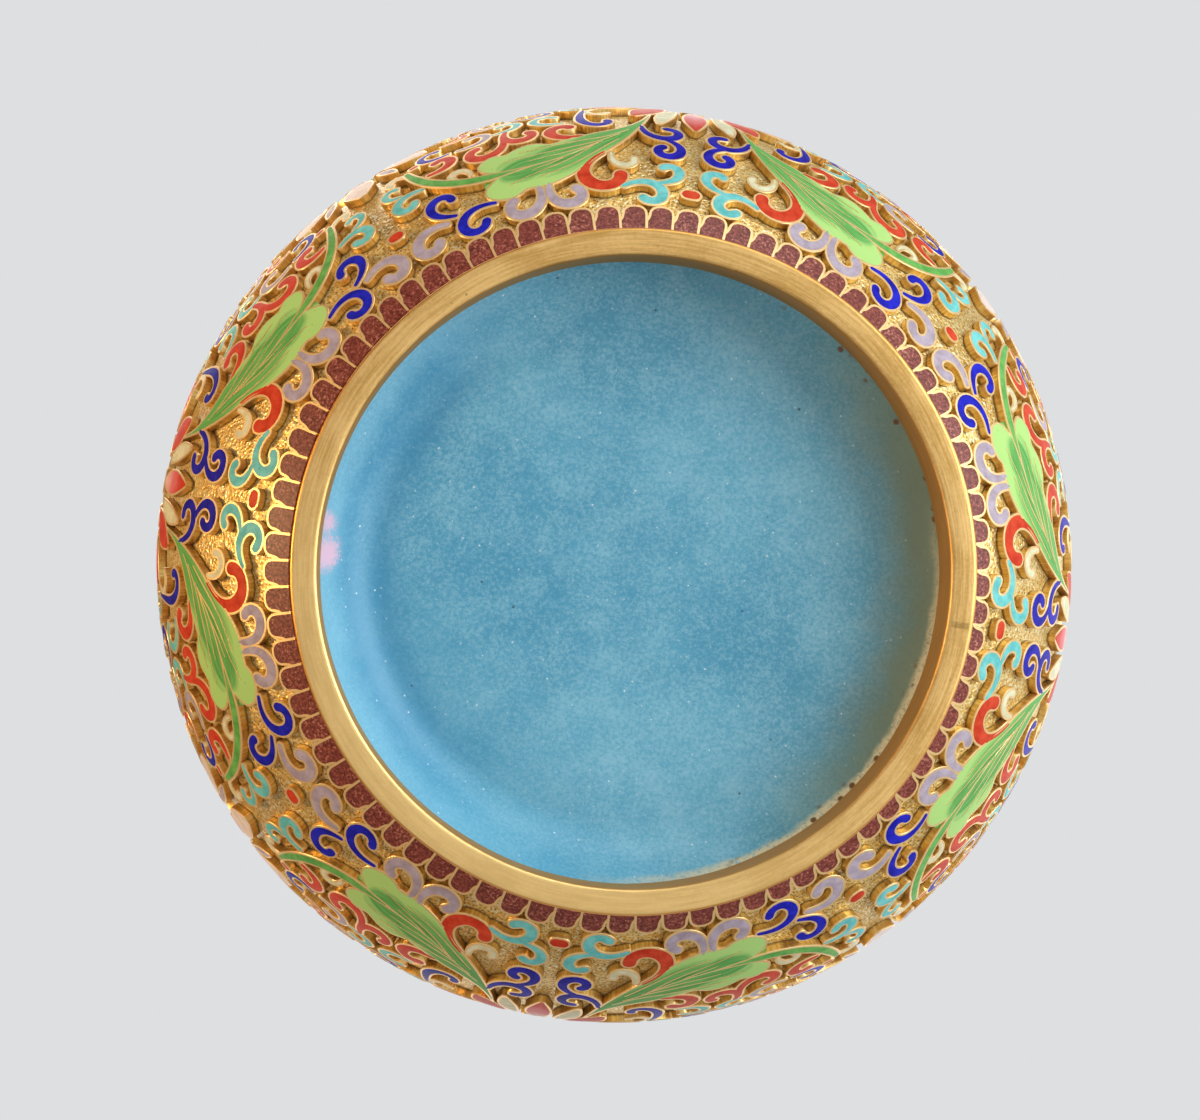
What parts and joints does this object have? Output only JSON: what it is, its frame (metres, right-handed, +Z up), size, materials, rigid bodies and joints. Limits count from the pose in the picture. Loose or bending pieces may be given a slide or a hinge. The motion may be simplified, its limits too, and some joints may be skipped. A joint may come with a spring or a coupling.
{
  "type": "cloisonne lidded jar",
  "caption": "Globular gilt jar in raised cloisonne enamel with leaves, scrolls and rosettes, a plain foot ring, an enamelled base and a domed lid with a bud knob.",
  "frame": {"origin": "centre of the foot ring's underside, on the surface that the jar stands on", "axes": "+Z up the jar's axis, -Y through the middle of a red rosette"},
  "size_m": [0.12, 0.12, 0.124],
  "materials": {
    "cloisonne_enamel": "fired enamel cells with gilt wires on a stippled gilt ground",
    "gilt_brass": "turned and gilt, softly worn"
  },
  "bodies": {
    "root": {"jar_body": "cloisonne_enamel", "foot_ring": "gilt_brass", "mouth_ring": "gilt_brass", "lid": "cloisonne_enamel", "lid_rim": "gilt_brass", "knob": "gilt_brass"}
  },
  "joints": []
}
